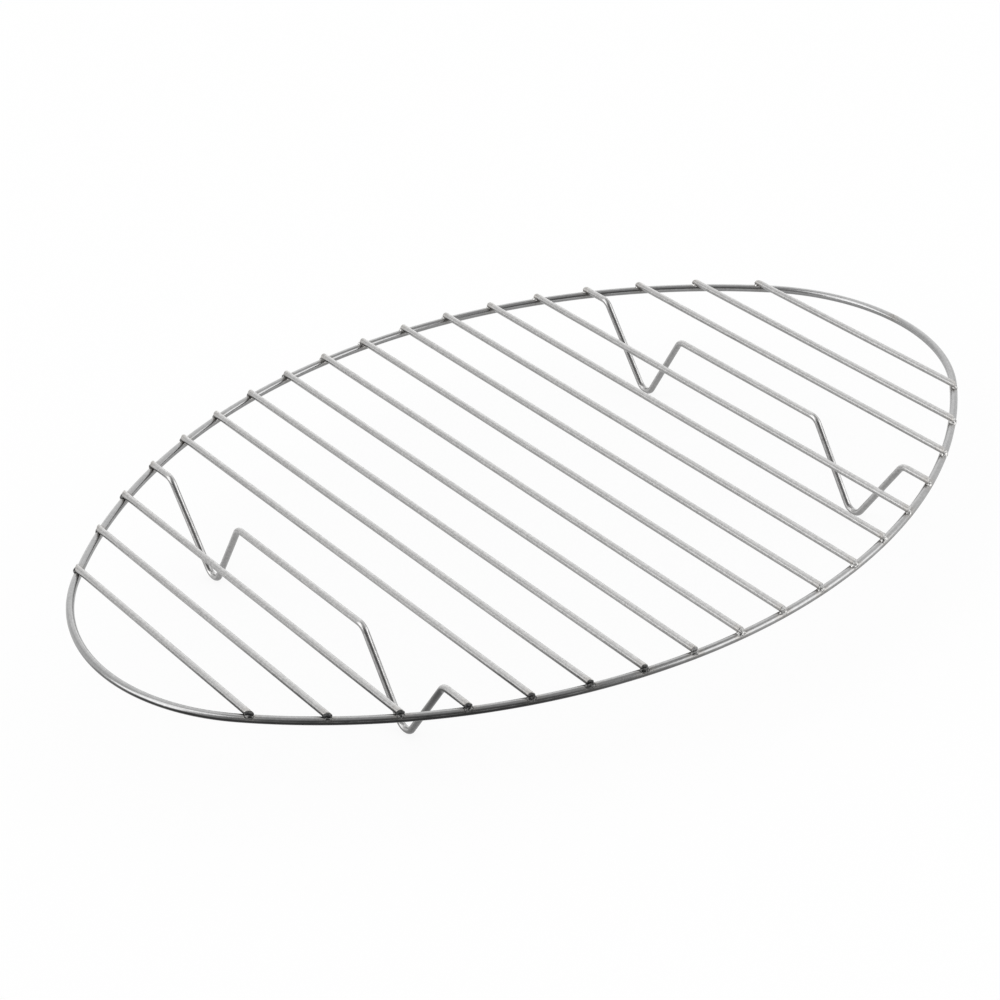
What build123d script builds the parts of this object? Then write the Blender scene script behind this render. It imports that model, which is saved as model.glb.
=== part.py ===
"""Oval wire rack: a bent rim ring, straight cross wires welded on top of it, and two bent leg wires.

The frame stands on the four feet: Z = 0 is the table, X runs along the rack and Y along the cross wires.
"""
from build123d import *
from math import atan2, cos, degrees, radians, sqrt, tan
import os

# Driving dimensions, in millimetres and degrees
RACK_LENGTH = 340.0         # outside of the rim ring along X
RACK_WIDTH = 230.0          # outside of the rim ring along Y
STANDING_HEIGHT = 31.0      # from the table to the top of the cross wires
END_RADIUS = 71.0           # bend of the two narrow ends, on the ring's centre line
RING_DIAMETER = 2.7         # wire of the rim ring
WIRE_DIAMETER = 2.3         # wire of the cross wires and the legs
WIRE_PITCH = 17.35          # from one wire to the next along X
LEAST_END_GAP = 18.0        # least room between the last wire and the end of the ring
WIRES_PAST_LEG = 3          # cross wires between each leg wire and its end of the rack
WELD_SINK = 0.3             # how far a wire is pressed into the ring at its two welds
END_TRIM = 0.4              # how far past the ring's centre line the wire ends are trimmed
LEG_END_RUN = 12.0          # level run of a leg wire, from the ring to its first bend
OUTER_FLANK_ANGLE = 55.0    # slope of a foot's outer side, from the level
INNER_FLANK_ANGLE = 58.5    # slope of a foot's inner side, from the level
LEG_BEND_RADIUS = 4.0       # bends of a leg wire, on its centre line

# Levels of the wire centre lines
WIRE_LEVEL = STANDING_HEIGHT - WIRE_DIAMETER / 2
RING_LEVEL = WIRE_LEVEL - (WIRE_DIAMETER + RING_DIAMETER) / 2 + WELD_SINK
FOOT_LEVEL = WIRE_DIAMETER / 2

# The oval is four arcs that run smoothly into each other: two tight ends and two shallow sides
HALF_LENGTH = (RACK_LENGTH - RING_DIAMETER) / 2
HALF_WIDTH = (RACK_WIDTH - RING_DIAMETER) / 2
END_CENTRE = HALF_LENGTH - END_RADIUS
SIDE_RADIUS = (END_CENTRE**2 + HALF_WIDTH**2 - END_RADIUS**2) / (2 * (HALF_WIDTH - END_RADIUS))
SIDE_CENTRE = SIDE_RADIUS - HALF_WIDTH
JOIN_ANGLE = degrees(atan2(SIDE_CENTRE, END_CENTRE))

# Wires stand in pairs at either side of the middle, as many as the ring has room for
WIRES_PER_HALF = int((HALF_LENGTH - LEAST_END_GAP) / WIRE_PITCH + 0.5)
LEG_NUMBER = WIRES_PER_HALF - WIRES_PAST_LEG
UNCUT_REACH = RACK_WIDTH / 2 + RING_DIAMETER


def draw_oval(offset):
    """Draw the oval's four arcs, at a set offset outside the ring's centre line."""
    CenterArc((END_CENTRE, 0), END_RADIUS + offset, -JOIN_ANGLE, 2 * JOIN_ANGLE)
    CenterArc((0, -SIDE_CENTRE), SIDE_RADIUS + offset, JOIN_ANGLE, 180 - 2 * JOIN_ANGLE)
    CenterArc((-END_CENTRE, 0), END_RADIUS + offset, 180 - JOIN_ANGLE, 2 * JOIN_ANGLE)
    CenterArc((0, SIDE_CENTRE), SIDE_RADIUS + offset, 180 + JOIN_ANGLE, 180 - 2 * JOIN_ANGLE)


def oval_reach(x):
    """Half the oval's width at x, on the ring's centre line."""
    if abs(x) > END_CENTRE + END_RADIUS * cos(radians(JOIN_ANGLE)):
        return sqrt(END_RADIUS**2 - (abs(x) - END_CENTRE) ** 2)
    return sqrt(SIDE_RADIUS**2 - x**2) - SIDE_CENTRE


def leg_corners(x):
    """Corners of a leg wire's route as (Y, Z): end run, foot, middle run, foot and end run."""
    half_fold = radians(OUTER_FLANK_ANGLE + INNER_FLANK_ANGLE) / 2
    half_skew = radians(OUTER_FLANK_ANGLE - INNER_FLANK_ANGLE) / 2
    foot_corner_level = FOOT_LEVEL + LEG_BEND_RADIUS * (1 - cos(half_skew) / cos(half_fold))
    drop = WIRE_LEVEL - foot_corner_level
    outer_bend = oval_reach(x) - LEG_END_RUN
    foot = outer_bend - drop / tan(radians(OUTER_FLANK_ANGLE))
    inner_bend = foot - drop / tan(radians(INNER_FLANK_ANGLE))
    one_side = [
        (UNCUT_REACH, WIRE_LEVEL),
        (outer_bend, WIRE_LEVEL),
        (foot, foot_corner_level),
        (inner_bend, WIRE_LEVEL),
    ]
    return one_side + [(-y, z) for y, z in reversed(one_side)]


def export_piece(piece, name):
    """Label a finished piece and write it to its own file."""
    piece.label = name
    export_step(piece, f"parts/{name}.step")


os.makedirs("parts", exist_ok=True)

# Rim ring: one round wire bent to the oval and closed by a weld that is ground flush
with BuildPart() as rim_ring:
    with BuildLine(Plane.XY.offset(RING_LEVEL)) as oval:
        draw_oval(0)
    with BuildSketch(Plane(origin=oval.line @ 0, z_dir=oval.line % 0)):
        Circle(RING_DIAMETER / 2)
    sweep()
export_piece(rim_ring.part, "rim_ring")

# Trimming die: the oval that all wire ends are cut along, so that each cut runs beside the ring
with BuildPart() as trimming_die:
    with BuildSketch():
        with BuildLine():
            draw_oval(END_TRIM)
        make_face()
    extrude(amount=2 * STANDING_HEIGHT, both=True)

# Places of the wires along the rack, from left to right
halves = range(1, WIRES_PER_HALF + 1)
right_places = {number: (number - 0.5) * WIRE_PITCH for number in halves}
cross_places = [x for number, x in right_places.items() if number != LEG_NUMBER]
cross_places = sorted([-x for x in cross_places] + cross_places)

# Cross wires: straight wires whose undersides are seated into the ring at both welds
for order, place in enumerate(cross_places, start=1):
    with BuildPart() as cross_wire:
        with BuildSketch(Plane((place, 0, WIRE_LEVEL), x_dir=(1, 0, 0), z_dir=(0, 1, 0))):
            Circle(WIRE_DIAMETER / 2)
        extrude(amount=UNCUT_REACH, both=True)
        add(trimming_die.part, mode=Mode.INTERSECT)
        add(rim_ring.part, mode=Mode.SUBTRACT)
    export_piece(cross_wire.part, f"cross_wire_{order:02d}")

# Leg wires: the same wire bent down to a pointed foot near each end, and welded to the ring beside it
leg_place = right_places[LEG_NUMBER]
for side, place in (("left", -leg_place), ("right", leg_place)):
    with BuildPart() as leg_wire:
        with BuildLine(Plane.YZ.offset(place)) as route:
            FilletPolyline(*leg_corners(place), radius=LEG_BEND_RADIUS)
        with BuildSketch(Plane(origin=route.line @ 0, z_dir=route.line % 0)):
            Circle(WIRE_DIAMETER / 2)
        sweep()
        add(trimming_die.part, mode=Mode.INTERSECT)
        add(rim_ring.part, mode=Mode.SUBTRACT)
    export_piece(leg_wire.part, f"leg_wire_{side}")
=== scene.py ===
# %% [markdown]
# # An oval wire rack, dressed in Blender
# The rack is welded from stainless wire: a thick oval ring, thin straight wires lying across it, and two
# bent wires that carry the feet. The measured model comes in as a fixed frame, in metres, and every wire
# drawn below follows it.

# %% Load the frame
import bpy
import math
from mathutils import Matrix, Vector


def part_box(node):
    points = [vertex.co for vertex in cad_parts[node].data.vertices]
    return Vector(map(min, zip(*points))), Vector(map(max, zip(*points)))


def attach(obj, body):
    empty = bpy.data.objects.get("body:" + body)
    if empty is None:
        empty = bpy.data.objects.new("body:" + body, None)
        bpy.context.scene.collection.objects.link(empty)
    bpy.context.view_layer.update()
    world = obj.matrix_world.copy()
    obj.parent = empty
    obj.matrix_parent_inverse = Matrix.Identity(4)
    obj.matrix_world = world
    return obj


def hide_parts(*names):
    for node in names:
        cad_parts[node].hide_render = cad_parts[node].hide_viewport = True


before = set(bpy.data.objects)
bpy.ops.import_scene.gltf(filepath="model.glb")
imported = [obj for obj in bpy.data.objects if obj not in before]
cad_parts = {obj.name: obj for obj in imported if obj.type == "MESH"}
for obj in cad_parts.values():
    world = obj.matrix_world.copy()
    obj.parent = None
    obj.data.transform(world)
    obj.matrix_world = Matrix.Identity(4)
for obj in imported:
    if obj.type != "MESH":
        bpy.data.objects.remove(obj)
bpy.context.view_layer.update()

print("nodes in the frame:", len(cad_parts))

# %% [markdown]
# ## Sizes
# A rack is easy to measure: each wire's box gives its place, its thickness and its two cut ends. Typing
# those numbers in again would let the picture drift away from the model, so they are read from the frame.
# Only the bends, which a box can't show, are named here with their real sizes.

# %% Read the sizes from the frame
MM = 0.001
CROSS_NAMES = sorted(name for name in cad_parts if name.startswith("cross_wire"))
LEG_NAMES = sorted(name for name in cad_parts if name.startswith("leg_wire"))
END_RADIUS = 71 * MM
LEG_END_RUN = 12 * MM
OUTER_FLANK = math.radians(55)
INNER_FLANK = math.radians(58.5)
LEG_BEND_RADIUS = 4 * MM
END_TRIM = 0.4 * MM
END_BREAK = 0.13 * MM


def centre_and_half(node):
    """Middle of a node's box and half its extents."""
    low, high = (Vector(corner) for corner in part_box(node))
    return (low + high) / 2, (high - low) / 2


ring_middle, ring_half = centre_and_half("rim_ring")
RING_RADIUS = ring_half.z
RING_LEVEL = ring_middle.z
HALF_LENGTH = ring_half.x - RING_RADIUS
HALF_WIDTH = ring_half.y - RING_RADIUS
WIRE_RADIUS = centre_and_half(CROSS_NAMES[0])[1].z
WIRE_LEVEL = centre_and_half(CROSS_NAMES[0])[0].z
print(f"ring {2 * ring_half.x / MM:.1f} x {2 * ring_half.y / MM:.1f} mm, wire {2 * RING_RADIUS / MM:.2f} mm")
print(f"{len(CROSS_NAMES)} cross wires of {2 * WIRE_RADIUS / MM:.2f} mm, axis {WIRE_LEVEL / MM:.1f} mm up")

# %% [markdown]
# ## The rule of the oval
# The ring is bent on rollers to two radii: tight ends and shallow sides that run into each other without a
# kink. If the two ends and the overall size are known, the side radius follows. The same rule later tells
# where each cross wire meets the ring, so the welds land on the wire and not beside it.

# %% Work out the four arcs
END_CENTRE = HALF_LENGTH - END_RADIUS
SIDE_RADIUS = (END_CENTRE**2 + HALF_WIDTH**2 - END_RADIUS**2) / (2 * (HALF_WIDTH - END_RADIUS))
SIDE_CENTRE = SIDE_RADIUS - HALF_WIDTH
JOIN_ANGLE = math.atan2(SIDE_CENTRE, END_CENTRE)


def ring_reach(x, offset=0.0):
    """Half the oval's width at x, on a line at a set offset outside the ring's centre line."""
    if abs(x) > END_CENTRE + (END_RADIUS + offset) * math.cos(JOIN_ANGLE):
        return math.sqrt((END_RADIUS + offset) ** 2 - (abs(x) - END_CENTRE) ** 2)
    return math.sqrt((SIDE_RADIUS + offset) ** 2 - x * x) - SIDE_CENTRE


def ring_heading(x):
    """Angle of the ring's run against the X axis, where it passes x on the far side."""
    if abs(x) > END_CENTRE + END_RADIUS * math.cos(JOIN_ANGLE):
        return -math.asin((abs(x) - END_CENTRE) / END_RADIUS) * math.copysign(1, x)
    return -math.asin(x / SIDE_RADIUS)


print(f"side radius {SIDE_RADIUS / MM:.1f} mm, arcs join at {math.degrees(JOIN_ANGLE):.1f} degrees")

# %% [markdown]
# ## Small helpers for node trees
# Nodes can be clicked together by hand or built in a script. A script is longer to read but can be run
# again with other sizes. A few short helpers keep it readable: they make a node, fill or link its sockets,
# pick an output, and start a tree with named inputs.

# %% Node helpers
def put(nodes, kind, settings=None, **sockets):
    """Add a node, set its options, and fill or link its inputs by socket name."""
    node = nodes.new(kind)
    for option, value in (settings or {}).items():
        setattr(node, option, value)
    for name, value in sockets.items():
        fill(node, name.replace("_", " "), value)
    return node


def fill(node, name, value):
    """Link a socket into one of a node's inputs, or set its plain value."""
    if isinstance(name, str):
        wanted = next(s for s in node.inputs if s.name == name and s.enabled)
    else:
        wanted = node.inputs[name]
    if isinstance(value, bpy.types.NodeSocket):
        node.id_data.links.new(value, wanted)
    else:
        wanted.default_value = value


def out(node, name=0):
    """An output socket of a node that is in use, by name or by order."""
    shown = [s for s in node.outputs if s.enabled]
    return shown[name] if isinstance(name, int) else next(s for s in shown if s.name == name)


def math_node(nodes, operation, *values):
    """One Math node on up to three values or sockets."""
    node = nodes.new("ShaderNodeMath")
    node.operation = operation
    for order, value in enumerate(values):
        fill(node, order, value)
    return node.outputs[0]


def start_tree(name, kind, inputs, outputs):
    """A node group with named inputs and outputs, given as (name, socket type, default value)."""
    tree = bpy.data.node_groups.new(name, kind)
    for in_out, rows in (("INPUT", inputs), ("OUTPUT", outputs)):
        for label, socket_type, default in rows:
            socket = tree.interface.new_socket(label, in_out=in_out, socket_type=socket_type)
            if default is not None:
                socket.default_value = default
    return tree, tree.nodes.new("NodeGroupInput"), tree.nodes.new("NodeGroupOutput")


print("helpers: put, fill, out, math_node, start_tree")

# %% [markdown]
# ## Drawn steel
# Wire is pulled through a die, and the die leaves fine scratches that run along it. Object coordinates
# can't follow a bent wire, so the scratches run on two attributes that the wire carries itself: how far
# along it a point lies, and which way round it faces. Pickling then leaves a fine grain, which has no
# direction and can use Object coordinates. One shader group gives both to every steel on the rack.

# %% Shader group: drawing streaks
def make_drawn_streaks():
    """Streaks and grain of a wire: a soft tone, a gloss that varies, and the height of the scratches."""
    tree, source, sink = start_tree("drawn_streaks", "ShaderNodeTree", [
        ("Along", "NodeSocketFloat", 0.0),
        ("Around", "NodeSocketVector", None),
        ("Streak Length", "NodeSocketFloat", 0.02),
        ("Streak Count", "NodeSocketFloat", 8.0),
        ("Grain Size", "NodeSocketFloat", 0.0011),
    ], [
        ("Tone", "NodeSocketFloat", None),
        ("Gloss", "NodeSocketFloat", None),
        ("Height", "NodeSocketFloat", None),
    ])
    nodes = tree.nodes
    run = math_node(nodes, "DIVIDE", source.outputs["Along"], source.outputs["Streak Length"])
    lift = put(nodes, "ShaderNodeCombineXYZ", Z=run)
    spread = put(nodes, "ShaderNodeVectorMath", {"operation": "SCALE"}, Scale=source.outputs["Streak Count"])
    fill(spread, 0, source.outputs["Around"])
    place = put(nodes, "ShaderNodeVectorMath", {"operation": "ADD"})
    fill(place, 0, spread.outputs[0])
    fill(place, 1, lift.outputs[0])
    broad = put(nodes, "ShaderNodeTexNoise", Vector=place.outputs[0], Scale=0.35, Detail=3.0, Roughness=0.55)
    fine = put(nodes, "ShaderNodeTexNoise", Vector=place.outputs[0], Scale=1.6, Detail=5.0, Roughness=0.62)
    hair = put(nodes, "ShaderNodeTexNoise", Vector=place.outputs[0], Scale=4.5, Detail=2.0, Roughness=0.5)
    spots = put(nodes, "ShaderNodeTexNoise", Vector=put(nodes, "ShaderNodeTexCoord").outputs["Object"],
                Scale=math_node(nodes, "DIVIDE", 1.0, source.outputs["Grain Size"]), Detail=3.0,
                Roughness=0.7)
    grain = math_node(nodes, "MULTIPLY_ADD", spots.outputs["Fac"], 0.7,
                      math_node(nodes, "MULTIPLY", broad.outputs["Fac"], 0.3))
    tone = put(nodes, "ShaderNodeMapRange", Value=grain)
    fill(tone, "From Min", 0.36)
    fill(tone, "From Max", 0.64)
    fill(sink, "Tone", tone.outputs[0])
    fill(sink, "Gloss", fine.outputs["Fac"])
    fill(sink, "Height", math_node(nodes, "ADD", fine.outputs["Fac"], hair.outputs["Fac"]))
    return tree


drawn_streaks = make_drawn_streaks()
print("shader group:", drawn_streaks.name)

# %% [markdown]
# ## Heat at the welds
# Each crossing is spot welded, and the heat leaves a dull, faintly straw-coloured patch with a few dark
# specks. Every wire carries its distance to the nearest weld, so one group can fade the patch in and out on
# the ring, the cross wires and the legs alike.

# %% Shader group: weld heat
def make_weld_heat():
    """A patch round each weld: how strong it is, and the dark specks inside it."""
    tree, source, sink = start_tree("weld_heat", "ShaderNodeTree", [
        ("Weld Distance", "NodeSocketFloat", 1.0),
        ("Reach", "NodeSocketFloat", 0.005),
        ("Speck Size", "NodeSocketFloat", 0.0006),
    ], [
        ("Patch", "NodeSocketFloat", None),
        ("Specks", "NodeSocketFloat", None),
    ])
    nodes = tree.nodes
    place = put(nodes, "ShaderNodeTexCoord").outputs["Object"]
    ragged = put(nodes, "ShaderNodeTexNoise", Vector=place, Scale=900.0, Detail=3.0)
    spread = math_node(nodes, "MULTIPLY", ragged.outputs["Fac"], source.outputs["Reach"])
    near = math_node(nodes, "ADD", source.outputs["Weld Distance"], spread)
    limit = math_node(nodes, "MULTIPLY", source.outputs["Reach"], 1.5)
    patch = put(nodes, "ShaderNodeMapRange", {"interpolation_type": "SMOOTHSTEP"}, Value=near)
    fill(patch, "From Min", limit)
    fill(patch, "From Max", math_node(nodes, "MULTIPLY", source.outputs["Reach"], 0.35))
    grain = math_node(nodes, "DIVIDE", 1.0, source.outputs["Speck Size"])
    cells = put(nodes, "ShaderNodeTexNoise", Vector=place, Scale=grain, Detail=2.0, Roughness=0.6)
    dots = put(nodes, "ShaderNodeMapRange", {"interpolation_type": "SMOOTHSTEP"}, Value=cells.outputs["Fac"])
    fill(dots, "From Min", 0.52)
    fill(dots, "From Max", 0.66)
    fill(sink, "Patch", patch.outputs[0])
    fill(sink, "Specks", math_node(nodes, "MULTIPLY", patch.outputs[0], dots.outputs[0]))
    return tree


weld_heat = make_weld_heat()
print("shader group:", weld_heat.name)

# %% [markdown]
# ## Painted shade on the underside
# The lower side of the wires is painted darker as shade, which draws the dark line along their lower edges.
# On the front left stretch of the ring the underside is painted near black, a painted dark reflection.
# Shade painted by height would miss the legs, so every wire carries how far each spot faces down, and one
# group fades the painted shade in from that, lets its edge wander along the wire and says where it is heavy.

# %% Shader group: painted underside shade
def make_painted_underside_shade():
    """Painted shade, from how far a spot faces down, with an edge that wanders, and where a painted dark
    reflection lies heavy.
    """
    tree, source, sink = start_tree("underside_film", "ShaderNodeTree", [
        ("Facing Down", "NodeSocketFloat", 0.0),
        ("Along", "NodeSocketFloat", 0.0),
        ("Patch Length", "NodeSocketFloat", 0.009),
        ("Start", "NodeSocketFloat", -0.35),
        ("Full", "NodeSocketFloat", 0.15),
        ("Heavy Side", "NodeSocketVector", (-0.66, -0.75, 0)),
        ("Heavy From", "NodeSocketFloat", 82 * MM),
        ("Heavy Full", "NodeSocketFloat", 132 * MM),
    ], [("Film", "NodeSocketFloat", None), ("Heavy", "NodeSocketFloat", None)])
    nodes = tree.nodes
    run = math_node(nodes, "DIVIDE", source.outputs["Along"], source.outputs["Patch Length"])
    wander = put(nodes, "ShaderNodeTexNoise", {"noise_dimensions": "1D"}, W=run, Scale=1.0, Detail=3.0)
    shift = math_node(nodes, "SUBTRACT", wander.outputs["Fac"], 0.5)
    edge = math_node(nodes, "MULTIPLY_ADD", shift, 0.3, source.outputs["Facing Down"])
    painted_shade = put(nodes, "ShaderNodeMapRange", {"interpolation_type": "SMOOTHSTEP"}, Value=edge)
    fill(painted_shade, "From Min", source.outputs["Start"])
    fill(painted_shade, "From Max", source.outputs["Full"])
    # Where the painted dark reflection lies heavy: the ring's front left stretch, found from Object
    # coordinates.
    toward = put(nodes, "ShaderNodeVectorMath", {"operation": "DOT_PRODUCT"})
    fill(toward, 0, put(nodes, "ShaderNodeTexCoord").outputs["Object"])
    fill(toward, 1, source.outputs["Heavy Side"])
    stretch = put(nodes, "ShaderNodeMapRange", {"interpolation_type": "SMOOTHSTEP"},
                  Value=toward.outputs["Value"])
    fill(stretch, "From Min", source.outputs["Heavy From"])
    fill(stretch, "From Max", source.outputs["Heavy Full"])
    heavy = put(nodes, "ShaderNodeMapRange", {"interpolation_type": "SMOOTHSTEP"}, Value=edge)
    fill(heavy, "From Min", math_node(nodes, "SUBTRACT", source.outputs["Start"], 0.25))
    fill(heavy, "From Max", math_node(nodes, "SUBTRACT", source.outputs["Full"], 0.25))
    fill(sink, "Film", painted_shade.outputs[0])
    fill(sink, "Heavy", math_node(nodes, "MULTIPLY", heavy.outputs[0], stretch.outputs[0]))
    return tree


underside_film = make_painted_underside_shade()
print("shader group:", underside_film.name)

# %% [markdown]
# ## The steels
# The ring is smoother and a little darker than the thin wires. One recipe with different values keeps the
# two related. The metal is fully metallic, so its look comes from what it reflects, and the streaks mostly
# change how sharply it does that.

# %% Steel materials
STRAW_TINT = (0.90, 0.84, 0.76, 1)
SPECK_GREY = (0.10, 0.10, 0.10, 1)
# Painted shade: this tint darkens the lower side of the wires.
PAINTED_SHADE_TINT = (0.30, 0.30, 0.30, 1)
# Painted dark reflection: this near-black grey covers the underside of the ring's front left stretch.
PAINTED_DARK_REFLECTION_GREY = (0.02, 0.02, 0.02, 1)
PAINTED_DARK_REFLECTION_COVER = 0.96
SCRATCH_DEPTH = 0.02 * MM


def steel(name, light, dark, smooth, dull, streak_length, streak_count, weld_dulling, scratch, painted_shade):
    """Drawn stainless steel: its two tones, its range of roughness, its answer to weld heat, and its painted
    shade on the underside.
    """
    material = bpy.data.materials.new(name)
    material.use_nodes = True
    nodes = material.node_tree.nodes
    shader = nodes["Principled BSDF"]
    shader.inputs["Metallic"].default_value = 1.0
    along = put(nodes, "ShaderNodeAttribute", {"attribute_name": "along"}).outputs["Fac"]
    around = put(nodes, "ShaderNodeAttribute", {"attribute_name": "around"}).outputs["Vector"]
    distance = put(nodes, "ShaderNodeAttribute", {"attribute_name": "weld_distance"}).outputs["Fac"]
    down = put(nodes, "ShaderNodeAttribute", {"attribute_name": "facing_down"}).outputs["Fac"]
    streaks = put(nodes, "ShaderNodeGroup", {"node_tree": drawn_streaks}, Along=along, Around=around,
                  Streak_Length=streak_length, Streak_Count=streak_count)
    heat = put(nodes, "ShaderNodeGroup", {"node_tree": weld_heat}, Weld_Distance=distance)
    tone = put(nodes, "ShaderNodeMix", {"data_type": "RGBA"}, Factor=streaks.outputs["Tone"])
    fill(tone, "A", (*light, 1))
    fill(tone, "B", (*dark, 1))
    straw = put(nodes, "ShaderNodeMix", {"data_type": "RGBA", "blend_type": "MULTIPLY"},
                Factor=math_node(nodes, "MULTIPLY", heat.outputs["Patch"], weld_dulling))
    fill(straw, "A", out(tone))
    fill(straw, "B", STRAW_TINT)
    speck = put(nodes, "ShaderNodeMix", {"data_type": "RGBA"},
                Factor=math_node(nodes, "MULTIPLY", heat.outputs["Specks"], weld_dulling))
    fill(speck, "A", out(straw))
    fill(speck, "B", SPECK_GREY)
    # Painted shade on the lower side of the wire, from how far each spot faces down.
    below = put(nodes, "ShaderNodeGroup", {"node_tree": underside_film}, Facing_Down=down,
                Along=along).outputs
    painted_shade_mix = put(nodes, "ShaderNodeMix", {"data_type": "RGBA", "blend_type": "MULTIPLY"},
               Factor=math_node(nodes, "MULTIPLY", below["Film"], painted_shade))
    fill(painted_shade_mix, "A", out(speck))
    fill(painted_shade_mix, "B", PAINTED_SHADE_TINT)
    # Painted dark reflection: near black on the ring's front left underside.
    painted_dark_reflection = put(nodes, "ShaderNodeMix", {"data_type": "RGBA"},
                Factor=math_node(nodes, "MULTIPLY", below["Heavy"], PAINTED_DARK_REFLECTION_COVER))
    fill(painted_dark_reflection, "A", out(painted_shade_mix))
    fill(painted_dark_reflection, "B", PAINTED_DARK_REFLECTION_GREY)
    gloss = put(nodes, "ShaderNodeMapRange", Value=streaks.outputs["Gloss"], To_Min=smooth, To_Max=dull)
    fill(gloss, "From Min", 0.3)
    fill(gloss, "From Max", 0.7)
    rough = math_node(nodes, "MULTIPLY_ADD", heat.outputs["Patch"], 0.25 * weld_dulling, gloss.outputs[0])
    bump = put(nodes, "ShaderNodeBump", Strength=scratch, Distance=SCRATCH_DEPTH,
               Height=streaks.outputs["Height"])
    fill(shader, "Base Color", out(painted_dark_reflection))
    fill(shader, "Roughness", rough)
    fill(shader, "Normal", bump.outputs[0])
    return material


# The last value of each steel sets how strong its painted shade on the underside is.
RING_STEEL = steel("drawn_ring_steel", light=(0.395, 0.395, 0.395), dark=(0.315, 0.315, 0.315), smooth=0.12,
                   dull=0.22, streak_length=30 * MM, streak_count=5.0, weld_dulling=0.55, scratch=0.25,
                   painted_shade=0.5)
WIRE_STEEL = steel("drawn_wire_steel", light=(0.52, 0.516, 0.512), dark=(0.37, 0.367, 0.364), smooth=0.18,
                   dull=0.32, streak_length=22 * MM, streak_count=6.0, weld_dulling=0.65, scratch=0.4,
                   painted_shade=0.55)
print("steels:", RING_STEEL.name, WIRE_STEEL.name)

# %% [markdown]
# ## Torn steel
# Welds set with a dull, pitted skin, and a sheared wire end is torn rather than cut. Both have a grain
# without a direction, so they get a recipe of their own on Object coordinates. Those at the left of the
# rack are painted darker than the others, a painted dark reflection, and the recipe fades that in along the
# rack.

# %% Rough steels: welds and cut ends
# Painted dark reflection: welds and cut ends are fully darkened 50 mm left of the middle, fading out 5 mm
# right of it.
PAINTED_DARK_FULL = -50 * MM
PAINTED_DARK_UNTIL = 5 * MM


def torn_steel(name, light, dark, roughness, grain, depth, painted_dark_level):
    """Matt steel broken up by a fine grain and darkened to the left as a painted dark reflection, for welds
    and cut wire ends.
    """
    material = bpy.data.materials.new(name)
    material.use_nodes = True
    nodes = material.node_tree.nodes
    shader = nodes["Principled BSDF"]
    shader.inputs["Metallic"].default_value = 1.0
    place = put(nodes, "ShaderNodeTexCoord").outputs["Object"]
    mottle = put(nodes, "ShaderNodeTexNoise", Vector=place, Scale=1 / grain, Detail=4.0, Roughness=0.65)
    pits = put(nodes, "ShaderNodeTexNoise", Vector=place, Scale=2.7 / grain, Detail=2.0, Roughness=0.5)
    spread = put(nodes, "ShaderNodeMapRange", {"interpolation_type": "SMOOTHSTEP"},
                 Value=mottle.outputs["Fac"])
    fill(spread, "From Min", 0.36)
    fill(spread, "From Max", 0.64)
    tone = put(nodes, "ShaderNodeMix", {"data_type": "RGBA"}, Factor=spread.outputs[0])
    fill(tone, "A", (*dark, 1))
    fill(tone, "B", (*light, 1))
    # Painted dark reflection: darker towards the left, by the X coordinate.
    across = put(nodes, "ShaderNodeSeparateXYZ", Vector=place).outputs["X"]
    scale = put(nodes, "ShaderNodeMapRange", {"interpolation_type": "SMOOTHSTEP"}, Value=across, To_Min=1.0,
                To_Max=0.0)
    fill(scale, "From Min", PAINTED_DARK_FULL)
    fill(scale, "From Max", PAINTED_DARK_UNTIL)
    painted_dark_mix = put(nodes, "ShaderNodeMix", {"data_type": "RGBA", "blend_type": "MULTIPLY"},
               Factor=scale.outputs[0])
    fill(painted_dark_mix, "A", out(tone))
    fill(painted_dark_mix, "B", (painted_dark_level, painted_dark_level, painted_dark_level, 1))
    rough = put(nodes, "ShaderNodeMapRange", Value=pits.outputs["Fac"], To_Min=roughness - 0.12,
                To_Max=roughness + 0.12)
    bump = put(nodes, "ShaderNodeBump", Strength=depth, Distance=0.08 * MM, Height=mottle.outputs["Fac"])
    fill(shader, "Base Color", out(painted_dark_mix))
    fill(shader, "Roughness", rough.outputs[0])
    fill(shader, "Normal", bump.outputs[0])
    return material


# The last value sets how dark the painted dark reflection makes these steels at the left.
WELD_STEEL = torn_steel("weld_steel", light=(0.86, 0.85, 0.83), dark=(0.14, 0.14, 0.14), roughness=0.32,
                        grain=0.55 * MM, depth=0.6, painted_dark_level=0.20)
CUT_STEEL = torn_steel("cut_end_steel", light=(0.88, 0.88, 0.87), dark=(0.30, 0.30, 0.30), roughness=0.42,
                       grain=0.5 * MM, depth=0.7, painted_dark_level=0.16)
print("rough steels:", WELD_STEEL.name, CUT_STEEL.name)

# %% [markdown]
# ## Where the welds are
# A weld sits wherever a wire crosses the ring, at the height where the two wires touch. The points are
# worked out once and used twice: they carry the weld metal, and the wires measure their distance to them
# for the heat patches. The ring itself is closed by one more weld at its right-hand end.

# %% Weld points
def points_mesh(name, places, **attributes):
    """A mesh of loose points that carries one number for each point under each given name."""
    mesh = bpy.data.meshes.new(name)
    mesh.from_pydata([tuple(place) for place in places], [], [])
    for label, values in attributes.items():
        mesh.attributes.new(label, "FLOAT", "POINT").data.foreach_set("value", values)
    return mesh


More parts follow.
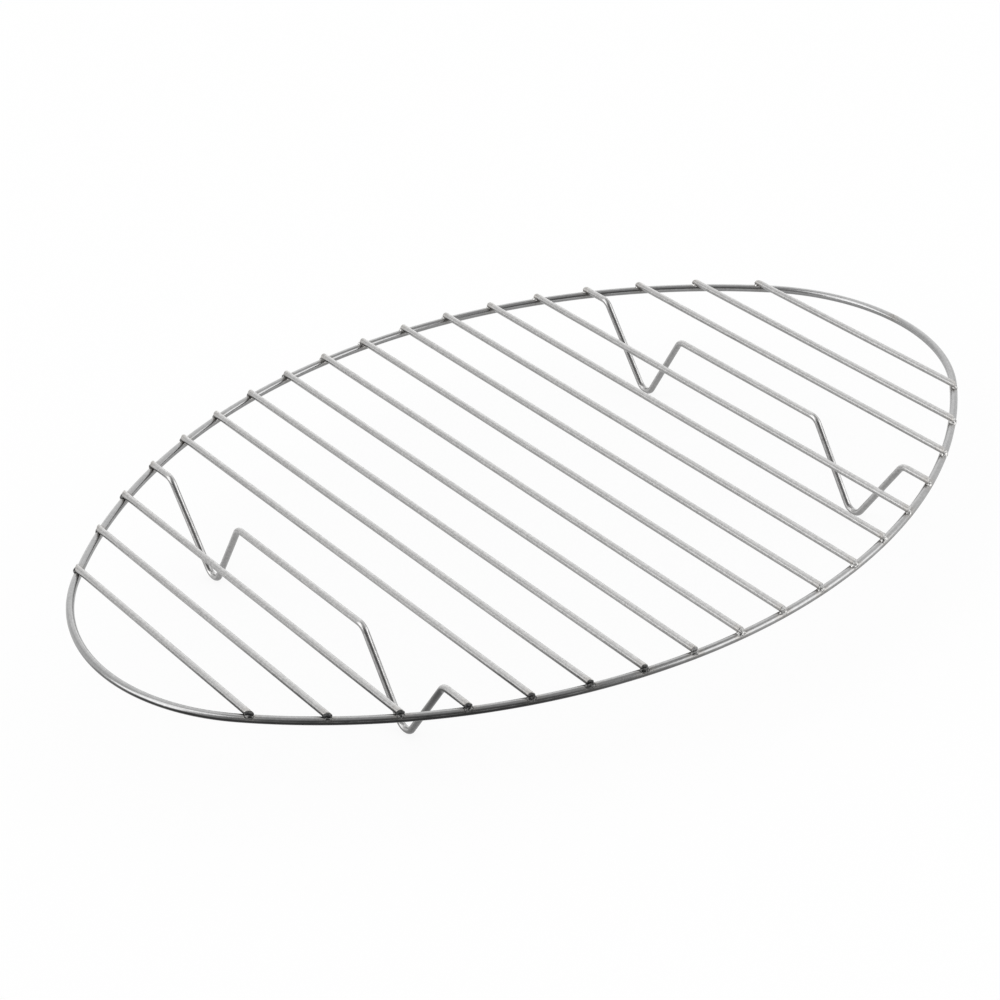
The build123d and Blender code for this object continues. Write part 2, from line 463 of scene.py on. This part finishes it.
WELD_DROP = 0.15 * MM
WELD_LEVEL = (RING_LEVEL + RING_RADIUS + WIRE_LEVEL - WIRE_RADIUS) / 2 - WELD_DROP
WELD_SHIFT = 0.4 * MM
weld_places = []
weld_headings = []
for wire in CROSS_NAMES + LEG_NAMES:
    wire_x = centre_and_half(wire)[0].x
    for side in (1, -1):
        weld_places.append(Vector((wire_x, side * ring_reach(wire_x, WELD_SHIFT), WELD_LEVEL)))
        weld_headings.append(side * ring_heading(wire_x))
ring_weld = Vector((HALF_LENGTH, 0, RING_LEVEL + RING_RADIUS))
weld_map = bpy.data.objects.new("weld_map", points_mesh("weld_map", weld_places + [ring_weld]))
bpy.context.scene.collection.objects.link(weld_map)
print("welds:", len(weld_places), "crossings and the ring's own")

# %% [markdown]
# ## A round wire along any line
# Ring, cross wires and legs are all round wire, so one node group turns a centre line into a wire. It
# spaces points along the line, remembers how far along each lies, sweeps a circle, slants the cut ends to
# run beside the ring, breaks their sharp rim and gives them their own steel. It also notes which way each
# spot faces, for the painted shade on the underside. A curve with a bevel would give the tube, but not the
# attributes or the ends.

# %% Geometry group: round wire
WIRE_INPUTS = [
    ("Wire Radius", "NodeSocketFloat", 1 * MM),
    ("Sides", "NodeSocketInt", 24),
    ("Step", "NodeSocketFloat", 2 * MM),
    ("End Break", "NodeSocketFloat", 0.2 * MM),
    ("Sway", "NodeSocketFloat", 0.0),
    ("Welds", "NodeSocketObject", None),
    ("Steel", "NodeSocketMaterial", None),
    ("Cut Steel", "NodeSocketMaterial", None),
]


def store(nodes, geometry, name, kind, domain, value, selection=True):
    """Keep a value under a name on the geometry."""
    node = put(nodes, "GeometryNodeStoreNamedAttribute", {"data_type": kind, "domain": domain},
               Geometry=geometry, Selection=selection, Name=name)
    fill(node, "Value", value)
    return node.outputs[0]


def make_round_wire():
    """Centre lines in, finished wires out, with the attributes that the steels read."""
    tree, source, sink = start_tree("round_wire", "GeometryNodeTree",
                                    [("Line", "NodeSocketGeometry", None), *WIRE_INPUTS],
                                    [("Wire", "NodeSocketGeometry", None)])
    nodes = tree.nodes
    given = source.outputs
    spaced = put(nodes, "GeometryNodeResampleCurve", {"mode": "LENGTH"}, Curve=given["Line"],
                 Length=given["Step"])
    along = put(nodes, "GeometryNodeSplineParameter").outputs["Length"]
    line = store(nodes, spaced.outputs[0], "along", "FLOAT", "POINT", along)
    number = put(nodes, "GeometryNodeInputIndex").outputs[0]
    line = store(nodes, line, "wire_number", "FLOAT", "CURVE", number)
    axis = put(nodes, "ShaderNodeSeparateXYZ",
               Vector=put(nodes, "GeometryNodeInputPosition").outputs[0]).outputs
    line = store(nodes, line, "axis_x", "FLOAT", "POINT", axis["X"])
    tip = put(nodes, "GeometryNodeCurveEndpointSelection").outputs[0]
    line = store(nodes, line, "tip_side", "FLOAT", "POINT", math_node(nodes, "SIGN", axis["Y"]), tip)

    drift = put(nodes, "ShaderNodeTexNoise", {"noise_dimensions": "4D"}, Scale=14.0, Detail=1.0)
    fill(drift, "Vector", put(nodes, "GeometryNodeInputPosition").outputs[0])
    fill(drift, "W",
         put(nodes, "GeometryNodeInputNamedAttribute", {"data_type": "FLOAT"}, Name="wire_number").outputs[0])
    centred = math_node(nodes, "SUBTRACT", drift.outputs["Fac"], 0.5)
    offset = put(nodes, "ShaderNodeCombineXYZ",
                 X=math_node(nodes, "MULTIPLY", centred, given["Sway"])).outputs[0]
    line = put(nodes, "GeometryNodeSetPosition", Geometry=line, Offset=offset).outputs[0]

    circle = put(nodes, "GeometryNodeCurvePrimitiveCircle", Resolution=given["Sides"], Radius=1.0).outputs[0]
    facing = put(nodes, "GeometryNodeInputPosition").outputs[0]
    profile = store(nodes, circle, "around", "FLOAT_VECTOR", "POINT", facing)
    tube = put(nodes, "GeometryNodeCurveToMesh", Curve=line, Profile_Curve=profile,
               Scale=given["Wire Radius"], Fill_Caps=True).outputs[0]

    def kept(name):
        return put(nodes, "GeometryNodeInputNamedAttribute", {"data_type": "FLOAT"}, Name=name).outputs[0]

    place = put(nodes, "ShaderNodeSeparateXYZ",
                Vector=put(nodes, "GeometryNodeInputPosition").outputs[0]).outputs["X"]
    aside = math_node(nodes, "SUBTRACT", place, kept("axis_x"))
    slant = math_node(nodes, "MULTIPLY", math_node(nodes, "MULTIPLY", aside, kept("cut_slope")),
                      kept("tip_side"))
    shear = put(nodes, "ShaderNodeCombineXYZ", Y=slant).outputs[0]
    tube = put(nodes, "GeometryNodeSetPosition", Geometry=tube, Offset=shear).outputs[0]

    corners = put(nodes, "GeometryNodeInputMeshFaceNeighbors").outputs["Vertex Count"]
    is_end = put(nodes, "FunctionNodeCompare", {"data_type": "INT", "operation": "GREATER_THAN"}, A=corners,
                 B=4)
    pushed = put(nodes, "GeometryNodeExtrudeMesh", Mesh=tube, Selection=is_end.outputs[0], Individual=True)
    fill(pushed, "Offset Scale", given["End Break"])
    narrow = math_node(nodes, "SUBTRACT", 1.0,
                       math_node(nodes, "DIVIDE", given["End Break"], given["Wire Radius"]))
    ends = pushed.outputs["Top"]
    tube = put(nodes, "GeometryNodeScaleElements", Geometry=pushed.outputs["Mesh"], Selection=ends,
               Scale=narrow)
    weld_info = put(nodes, "GeometryNodeObjectInfo", Object=given["Welds"])
    reach = put(nodes, "GeometryNodeProximity", {"target_element": "POINTS"},
                Geometry=out(weld_info, "Geometry"))
    wire = store(nodes, tube.outputs[0], "weld_distance", "FLOAT", "POINT", out(reach, "Distance"))
    lean = put(nodes, "ShaderNodeSeparateXYZ",
               Vector=put(nodes, "GeometryNodeInputNormal").outputs[0]).outputs["Z"]
    wire = store(nodes, wire, "facing_down", "FLOAT", "POINT", math_node(nodes, "MULTIPLY", lean, -1.0))
    wire = put(nodes, "GeometryNodeSetShadeSmooth", Geometry=wire, Shade_Smooth=True).outputs[0]
    flat = put(nodes, "GeometryNodeSetShadeSmooth", Geometry=wire, Selection=ends,
               Shade_Smooth=False).outputs[0]
    clad = put(nodes, "GeometryNodeSetMaterial", Geometry=flat, Material=given["Steel"]).outputs[0]
    done = put(nodes, "GeometryNodeSetMaterial", Geometry=clad, Selection=ends, Material=given["Cut Steel"])
    fill(sink, "Wire", done.outputs[0])
    return tree


round_wire = make_round_wire()
print("geometry group:", round_wire.name)

# %% [markdown]
# ## From nodes to a plain mesh
# A rack that goes into other scenes should not depend on a stack of nodes. Each tree is therefore run once
# and its result kept as an ordinary mesh. The wire group's inputs are passed on by name, so a piece only
# states what differs.

# %% Use the group, and bake a tree to a plain mesh
def finish_wire(tree, source, sink, line):
    """End a piece's tree with the round wire group, fed by the tree's own inputs of the same names."""
    drawn = put(tree.nodes, "GeometryNodeGroup", {"node_tree": round_wire}, Line=line)
    for label, _, _ in WIRE_INPUTS:
        fill(drawn, label, source.outputs[label])
    whole = put(tree.nodes, "GeometryNodeRealizeInstances", Geometry=drawn.outputs[0])
    fill(sink, "Wire", whole.outputs[0])


def bake(name, mesh, tree, slot, replaced, **values):
    """Run a tree on a mesh, keep the result as a plain mesh, and let it stand for its nodes of the frame."""
    piece = bpy.data.objects.new(name, mesh)
    bpy.context.scene.collection.objects.link(piece)
    modifier = piece.modifiers.new(name, "NODES")
    modifier.node_group = tree
    for socket in tree.interface.items_tree:
        label = socket.name.replace(" ", "_")
        if socket.in_out == "INPUT" and label in values:
            modifier[socket.identifier] = values[label]
    graph = bpy.context.evaluated_depsgraph_get()
    result = bpy.data.meshes.new_from_object(piece.evaluated_get(graph), preserve_all_data_layers=True,
                                             depsgraph=graph)
    while None in result.materials[:]:
        result.materials.pop(index=result.materials[:].index(None))
    piece.modifiers.clear()
    piece.data = result
    result.name = name
    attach(piece, "root")
    if replaced:
        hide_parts(*replaced)
    triangles = sum(len(face.vertices) - 2 for face in result.polygons)
    print(f"{name}: {triangles} triangles, materials {[m.name for m in result.materials]}")
    return piece


STEELS = {"Welds": weld_map, "Cut_Steel": CUT_STEEL}

# %% [markdown]
# ## The rim ring
# The ring is one wire bent to the oval. It could be drawn as four arcs and joined, but a circle already has
# what the rule needs: each of its points is a direction. The tree keeps the direction and moves the point
# out to the arc that faces that way, so the oval comes out smooth and closed in one go.

# %% Rim ring
def make_rim_ring():
    """A unit circle pushed out to the four arcs of the oval, then drawn as a round wire."""
    tree, source, sink = start_tree("rim_ring", "GeometryNodeTree", [
        ("Geometry", "NodeSocketGeometry", None),
        ("End Radius", "NodeSocketFloat", END_RADIUS),
        ("End Centre", "NodeSocketFloat", END_CENTRE),
        ("Side Radius", "NodeSocketFloat", SIDE_RADIUS),
        ("Side Centre", "NodeSocketFloat", SIDE_CENTRE),
        ("Level", "NodeSocketFloat", RING_LEVEL),
        *WIRE_INPUTS,
    ], [("Wire", "NodeSocketGeometry", None)])
    nodes = tree.nodes
    given = source.outputs
    circle = put(nodes, "GeometryNodeCurvePrimitiveCircle", Resolution=720, Radius=1.0).outputs[0]
    facing = put(nodes, "ShaderNodeSeparateXYZ",
                 Vector=put(nodes, "GeometryNodeInputPosition").outputs[0]).outputs
    end_x = math_node(nodes, "MULTIPLY_ADD", math_node(nodes, "SIGN", facing["X"]), given["End Centre"],
                      math_node(nodes, "MULTIPLY", facing["X"], given["End Radius"]))
    end_y = math_node(nodes, "MULTIPLY", facing["Y"], given["End Radius"])
    side_x = math_node(nodes, "MULTIPLY", facing["X"], given["Side Radius"])
    side_shift = math_node(nodes, "MULTIPLY", math_node(nodes, "SIGN", facing["Y"]), given["Side Centre"])
    side_y = math_node(nodes, "SUBTRACT", math_node(nodes, "MULTIPLY", facing["Y"], given["Side Radius"]),
                       side_shift)
    slope = math_node(nodes, "DIVIDE", given["Side Centre"], given["End Centre"])
    steep = math_node(nodes, "MULTIPLY", math_node(nodes, "ABSOLUTE", facing["X"]), slope)
    on_side = put(nodes, "FunctionNodeCompare", {"operation": "GREATER_THAN"},
                  A=math_node(nodes, "ABSOLUTE", facing["Y"]), B=steep)
    end_point = put(nodes, "ShaderNodeCombineXYZ", X=end_x, Y=end_y, Z=given["Level"])
    side_point = put(nodes, "ShaderNodeCombineXYZ", X=side_x, Y=side_y, Z=given["Level"])
    pick = put(nodes, "GeometryNodeSwitch", {"input_type": "VECTOR"}, Switch=on_side.outputs[0])
    fill(pick, "False", end_point.outputs[0])
    fill(pick, "True", side_point.outputs[0])
    oval = put(nodes, "GeometryNodeSetPosition", Geometry=circle, Position=out(pick))
    finish_wire(tree, source, sink, oval.outputs[0])
    return tree


rim_ring = bake("rim_ring_wire", bpy.data.meshes.new("rim_ring_wire"), make_rim_ring(), "ring_steel",
                ["rim_ring"], Wire_Radius=RING_RADIUS, Sides=28, Step=2 * MM, Steel=RING_STEEL, **STEELS)

# %% [markdown]
# ## The cross wires
# Sixteen straight wires of different lengths lie side by side. They could be sixteen cylinders, but a row
# of points says the same thing more plainly: each point is the middle of a wire and carries its half
# length, and the tree lays a line of that length on every point. A sway of a tenth of a millimetre keeps
# the reflections from lining up too well.

# %% Cross wires
def make_cross_wires():
    """A straight line of its own length on every point, drawn as round wires."""
    tree, source, sink = start_tree("cross_wires", "GeometryNodeTree",
                                    [("Geometry", "NodeSocketGeometry", None), *WIRE_INPUTS],
                                    [("Wire", "NodeSocketGeometry", None)])
    nodes = tree.nodes
    unit = put(nodes, "GeometryNodeCurvePrimitiveLine", Start=(0, -1, 0), End=(0, 1, 0)).outputs[0]
    half = put(nodes, "GeometryNodeInputNamedAttribute", {"data_type": "FLOAT"},
               Name="half_length").outputs[0]
    stretch = put(nodes, "ShaderNodeCombineXYZ", X=1.0, Y=half, Z=1.0).outputs[0]
    laid = put(nodes, "GeometryNodeInstanceOnPoints", Points=source.outputs["Geometry"], Instance=unit,
               Scale=stretch)
    lines = put(nodes, "GeometryNodeRealizeInstances", Geometry=laid.outputs[0]).outputs[0]
    finish_wire(tree, source, sink, lines)
    return tree


cross_middles = [centre_and_half(name)[0] for name in CROSS_NAMES]
cross_lengths = [ring_reach(middle.x, END_TRIM) - END_BREAK for middle in cross_middles]
cross_slopes = [math.tan(ring_heading(middle.x)) for middle in cross_middles]
cross_points = points_mesh("cross_wires", cross_middles, half_length=cross_lengths, cut_slope=cross_slopes)
cross_wires = bake("cross_wires", cross_points, make_cross_wires(), "wire_steel", CROSS_NAMES,
                   Wire_Radius=WIRE_RADIUS, Sides=24, Step=2.5 * MM, End_Break=END_BREAK, Sway=0.25 * MM,
                   Steel=WIRE_STEEL, **STEELS)

# %% [markdown]
# ## The leg wires
# A leg is the same wire with six bends: level, down to a foot, up, level, and the same again. Drawing the
# bends by hand would take many points. A line through the sharp corners is enough, because the Fillet Curve
# node rounds each corner to the radius of the bending pin.

# %% Leg wires
def leg_corners(node):
    """Sharp corners of a leg's route: end run, foot, middle run, foot and end run."""
    middle, half = centre_and_half(node)
    foot_level = middle.z - half.z + WIRE_RADIUS
    half_fold = (OUTER_FLANK + INNER_FLANK) / 2
    half_lean = (OUTER_FLANK - INNER_FLANK) / 2
    corner_level = foot_level + LEG_BEND_RADIUS * (1 - math.cos(half_lean) / math.cos(half_fold))
    drop = WIRE_LEVEL - corner_level
    outer_bend = ring_reach(middle.x) - LEG_END_RUN
    foot = outer_bend - drop / math.tan(OUTER_FLANK)
    inner_bend = foot - drop / math.tan(INNER_FLANK)
    tip = ring_reach(middle.x, END_TRIM) - END_BREAK
    one_side = [(tip, WIRE_LEVEL), (outer_bend, WIRE_LEVEL), (foot, corner_level), (inner_bend, WIRE_LEVEL)]
    return [(middle.x, y, z) for y, z in one_side] + [(middle.x, -y, z) for y, z in reversed(one_side)]


def make_leg_wires():
    """Routes through sharp corners, rounded to the bend radius and drawn as round wires."""
    tree, source, sink = start_tree("leg_wires", "GeometryNodeTree",
                                    [("Geometry", "NodeSocketGeometry", None),
                                     ("Bend Radius", "NodeSocketFloat", LEG_BEND_RADIUS), *WIRE_INPUTS],
                                    [("Wire", "NodeSocketGeometry", None)])
    nodes = tree.nodes
    route = put(nodes, "GeometryNodeMeshToCurve", Mesh=source.outputs["Geometry"]).outputs[0]
    bent = put(nodes, "GeometryNodeFilletCurve", {"mode": "POLY"}, Curve=route, Count=14,
               Radius=source.outputs["Bend Radius"])
    finish_wire(tree, source, sink, bent.outputs[0])
    return tree


leg_routes = [leg_corners(name) for name in LEG_NAMES]
leg_mesh = bpy.data.meshes.new("leg_wires")
leg_runs = [(n, n + 1) for n in range(2 * len(leg_routes[0]) - 1) if n != len(leg_routes[0]) - 1]
leg_mesh.from_pydata(leg_routes[0] + leg_routes[1], leg_runs, [])
leg_slopes = [math.tan(ring_heading(corner[0])) for route in leg_routes for corner in route]
leg_mesh.attributes.new("cut_slope", "FLOAT", "POINT").data.foreach_set("value", leg_slopes)
leg_wires = bake("leg_wires", leg_mesh, make_leg_wires(), "wire_steel", LEG_NAMES,
                 Bend_Radius=LEG_BEND_RADIUS, Wire_Radius=WIRE_RADIUS, Sides=24, Step=0.6 * MM,
                 End_Break=END_BREAK, Steel=WIRE_STEEL, **STEELS)

# %% [markdown]
# ## The weld metal
# A spot weld squeezes a little metal out of the joint, and it sets as a low uneven collar where the wires
# meet. One ball, flattened and roughened by noise, is laid on every weld point. It is turned to lie along
# the ring there, and a fixed seed gives each weld its own size, so no two look stamped.

# %% Weld metal
def make_weld_collars():
    """A flattened, roughened ball on every weld point, turned along the ring."""
    tree, source, sink = start_tree("weld_collars", "GeometryNodeTree", [
        ("Geometry", "NodeSocketGeometry", None),
        ("Collar Size", "NodeSocketVector", (1.60 * MM, 1.15 * MM, 1.00 * MM)),
        ("Outer Reach", "NodeSocketFloat", 100 * MM),
        ("Roughness", "NodeSocketFloat", 0.3),
        ("Seed", "NodeSocketInt", 7),
        ("Steel", "NodeSocketMaterial", None),
    ], [("Collars", "NodeSocketGeometry", None)])
    nodes = tree.nodes
    given = source.outputs
    ball = put(nodes, "GeometryNodeMeshIcoSphere", Radius=1.0, Subdivisions=4).outputs[0]
    heading = put(nodes, "GeometryNodeInputNamedAttribute", {"data_type": "FLOAT"}, Name="heading").outputs[0]
    turn = put(nodes, "ShaderNodeCombineXYZ", Z=heading).outputs[0]
    growth = put(nodes, "FunctionNodeRandomValue", {"data_type": "FLOAT"}, Seed=given["Seed"])
    for socket, value in zip([s for s in growth.inputs if s.enabled][:2], (0.82, 1.15)):
        socket.default_value = value
    size = put(nodes, "ShaderNodeVectorMath", {"operation": "SCALE"}, Scale=out(growth))
    fill(size, 0, given["Collar Size"])
    laid = put(nodes, "GeometryNodeInstanceOnPoints", Points=given["Geometry"], Instance=ball, Rotation=turn,
               Scale=size.outputs[0])
    solid = put(nodes, "GeometryNodeRealizeInstances", Geometry=laid.outputs[0]).outputs[0]
    lumps = put(nodes, "ShaderNodeTexNoise", Scale=1 / (1.1 * MM), Detail=2.0)
    fill(lumps, "Vector", put(nodes, "GeometryNodeInputPosition").outputs[0])
    level = math_node(nodes, "SUBTRACT", lumps.outputs["Fac"], 0.5)
    push = math_node(nodes, "MULTIPLY", math_node(nodes, "MULTIPLY", level, given["Roughness"]), 2 * MM)
    offset = put(nodes, "ShaderNodeVectorMath", {"operation": "SCALE"}, Scale=push)
    fill(offset, 0, put(nodes, "GeometryNodeInputNormal").outputs[0])
    rough = put(nodes, "GeometryNodeSetPosition", Geometry=solid, Offset=offset.outputs[0]).outputs[0]
    place = put(nodes, "ShaderNodeSeparateXYZ",
                Vector=put(nodes, "GeometryNodeInputPosition").outputs[0]).outputs
    held = math_node(nodes, "MINIMUM", place["Y"], given["Outer Reach"])
    held = math_node(nodes, "MAXIMUM", held, math_node(nodes, "MULTIPLY", given["Outer Reach"], -1.0))
    flush = put(nodes, "ShaderNodeCombineXYZ", X=place["X"], Y=held, Z=place["Z"]).outputs[0]
    rough = put(nodes, "GeometryNodeSetPosition", Geometry=rough, Position=flush).outputs[0]
    smooth = put(nodes, "GeometryNodeSetShadeSmooth", Geometry=rough, Shade_Smooth=True).outputs[0]
    whole = put(nodes, "GeometryNodeRealizeInstances", Geometry=smooth).outputs[0]
    clad = put(nodes, "GeometryNodeSetMaterial", Geometry=whole, Material=given["Steel"])
    fill(sink, "Collars", clad.outputs[0])
    return tree


COLLAR_INSET = 0.02 * MM
weld_collars = bake("weld_collars", points_mesh("weld_collars", weld_places, heading=weld_headings),
                    make_weld_collars(), "wire_steel", [], Steel=WELD_STEEL, Seed=7,
                    Outer_Reach=HALF_WIDTH + RING_RADIUS - COLLAR_INSET)
bpy.data.objects.remove(weld_map)

# %% [markdown]
# ## Floor
# The rack stands on a plain white sweep. A large flat plate is enough, because the camera looks down on it.
# Its own colour is nearly white, and part of it shines just enough to reach white in the picture and in the
# steel, while the rest stays matt so that the soft shadows under the wires are kept.

# %% Floor
FLOOR_HALF = 9.0
FLOOR_GLOW = 0.88


def make_floor():
    """A square plate at the level of the feet, with its white material."""
    mesh = bpy.data.meshes.new("floor")
    corners = [(-FLOOR_HALF, -FLOOR_HALF, 0), (FLOOR_HALF, -FLOOR_HALF, 0), (FLOOR_HALF, FLOOR_HALF, 0),
               (-FLOOR_HALF, FLOOR_HALF, 0)]
    mesh.from_pydata(corners, [], [(0, 1, 2, 3)])
    floor = bpy.data.objects.new("floor", mesh)
    bpy.context.scene.collection.objects.link(floor)
    material = bpy.data.materials.new("white_sweep")
    material.use_nodes = True
    nodes = material.node_tree.nodes
    paint = nodes["Principled BSDF"]
    paint.inputs["Base Color"].default_value = (0.95, 0.95, 0.95, 1)
    paint.inputs["Roughness"].default_value = 0.9
    paint.inputs["Specular IOR Level"].default_value = 0.0
    shine = put(nodes, "ShaderNodeEmission", Color=(1, 1, 1, 1), Strength=1.0)
    ray = put(nodes, "ShaderNodeLightPath").outputs
    seen = math_node(nodes, "MAXIMUM", ray["Is Camera Ray"],
                     math_node(nodes, "MAXIMUM", ray["Is Glossy Ray"], ray["Is Transmission Ray"]))
    blend = put(nodes, "ShaderNodeMixShader")
    fill(blend, 0, math_node(nodes, "MULTIPLY", seen, FLOOR_GLOW))
    fill(blend, 1, paint.outputs[0])
    fill(blend, 2, shine.outputs[0])
    fill(nodes["Material Output"], "Surface", blend.outputs[0])
    mesh.materials.append(material)
    return floor


make_floor()
print("floor: white plate under the feet")

# %% [markdown]
# ## Studio light
# Polished wire shows the room more than its own colour, so the room is the lighting. It is brightest low at
# the back right, dim overhead, and dark at the front left, which draws the dark core along the ring's
# front. Soft patches at the left and at the front right brighten the edges of the legs. Lamps would give
# hot spots on such thin wire, so the sky itself is shaded by direction, and each later patch lies over the
# earlier ones.

# %% Sky
SKY_PATCHES = {
    "back_right_glow": ((0.56, 0.81, 0.18), 0.90, 0.52, 1.90),
    "back_glow": ((0.10, 0.75, 0.60), 0.92, 0.70, 1.30),
    "back_left_grey": ((-0.60, 0.72, 0.35), 0.90, 0.66, 0.95),
    "right_glow": ((0.94, 0.00, 0.34), 0.90, 0.70, 1.15),
    "front_left_dark": ((-0.47, -0.81, 0.30), 0.95, 0.66, 0.15),
    "left_low_patch": ((-0.92, 0.28, 0.26), 0.965, 0.90, 2.7),
    "left_high_patch": ((-0.646, 0.173, 0.743), 0.975, 0.93, 2.2),
    "front_right_patch": ((0.63, -0.70, 0.26), 0.94, 0.84, 2.3),
}


def make_sky(patches, horizon, zenith):
    """A grey sky with soft patches, each given as direction, inner and outer cosine, and brightness."""
    world = bpy.data.worlds.new("studio")
    world.use_nodes = True
    nodes = world.node_tree.nodes
    heading = put(nodes, "ShaderNodeTexCoord").outputs["Generated"]
    height = put(nodes, "ShaderNodeSeparateXYZ", Vector=heading).outputs["Z"]
    ramp = put(nodes, "ShaderNodeMapRange", {"interpolation_type": "SMOOTHSTEP"}, Value=height,
               To_Min=horizon, To_Max=zenith)
    fill(ramp, "From Min", 0.0)
    fill(ramp, "From Max", 0.85)
    level = ramp.outputs[0]
    for direction, inner, outer, value in patches:
        toward = put(nodes, "ShaderNodeVectorMath", {"operation": "DOT_PRODUCT"})
        fill(toward, 0, heading)
        fill(toward, 1, Vector(direction).normalized())
        mask = put(nodes, "ShaderNodeMapRange", {"interpolation_type": "SMOOTHSTEP"},
                   Value=toward.outputs["Value"])
        fill(mask, "From Min", outer)
        fill(mask, "From Max", inner)
        mixed = put(nodes, "ShaderNodeMix", {"data_type": "FLOAT"}, Factor=mask.outputs[0], A=level, B=value)
        level = out(mixed)
    fill(nodes["Background"], "Color", (1, 1, 1, 1))
    fill(nodes["Background"], "Strength", level)
    bpy.context.scene.world = world


make_sky(SKY_PATCHES.values(), horizon=0.80, zenith=0.55)
print("sky patches:", ", ".join(SKY_PATCHES))

# %% [markdown]
# ## Camera
# The camera's place was found by lining the straight wires and the oval up with the photograph: a long
# lens, about a third of the way up from level, turned a little past the rack's corner and tipped by under
# three degrees. The picture is square, so the lens is set against the sensor's width.

# %% Camera
CAMERA_PLACE = Vector((-458.6, -611.9, 503.8)) * MM
CAMERA_AIM = Vector((-19.47, -6.41, 30.0)) * MM
CAMERA_ROLL = math.radians(-2.683)
CAMERA_LENS = 96.16


def make_camera():
    """A camera at its place, looking at its aim and rolled about its own axis."""
    data = bpy.data.cameras.new("camera")
    data.lens = CAMERA_LENS
    data.sensor_width = 36.0
    camera = bpy.data.objects.new("camera", data)
    bpy.context.scene.collection.objects.link(camera)
    look = (CAMERA_AIM - CAMERA_PLACE).to_track_quat("-Z", "Y").to_matrix().to_4x4()
    camera.matrix_world = Matrix.Translation(CAMERA_PLACE) @ look @ Matrix.Rotation(CAMERA_ROLL, 4, "Z")
    bpy.context.scene.camera = camera


make_camera()
bpy.context.scene.view_settings.view_transform = "Standard"
print(f"camera: {CAMERA_LENS} mm lens, {(CAMERA_AIM - CAMERA_PLACE).length / MM:.0f} mm from its aim")
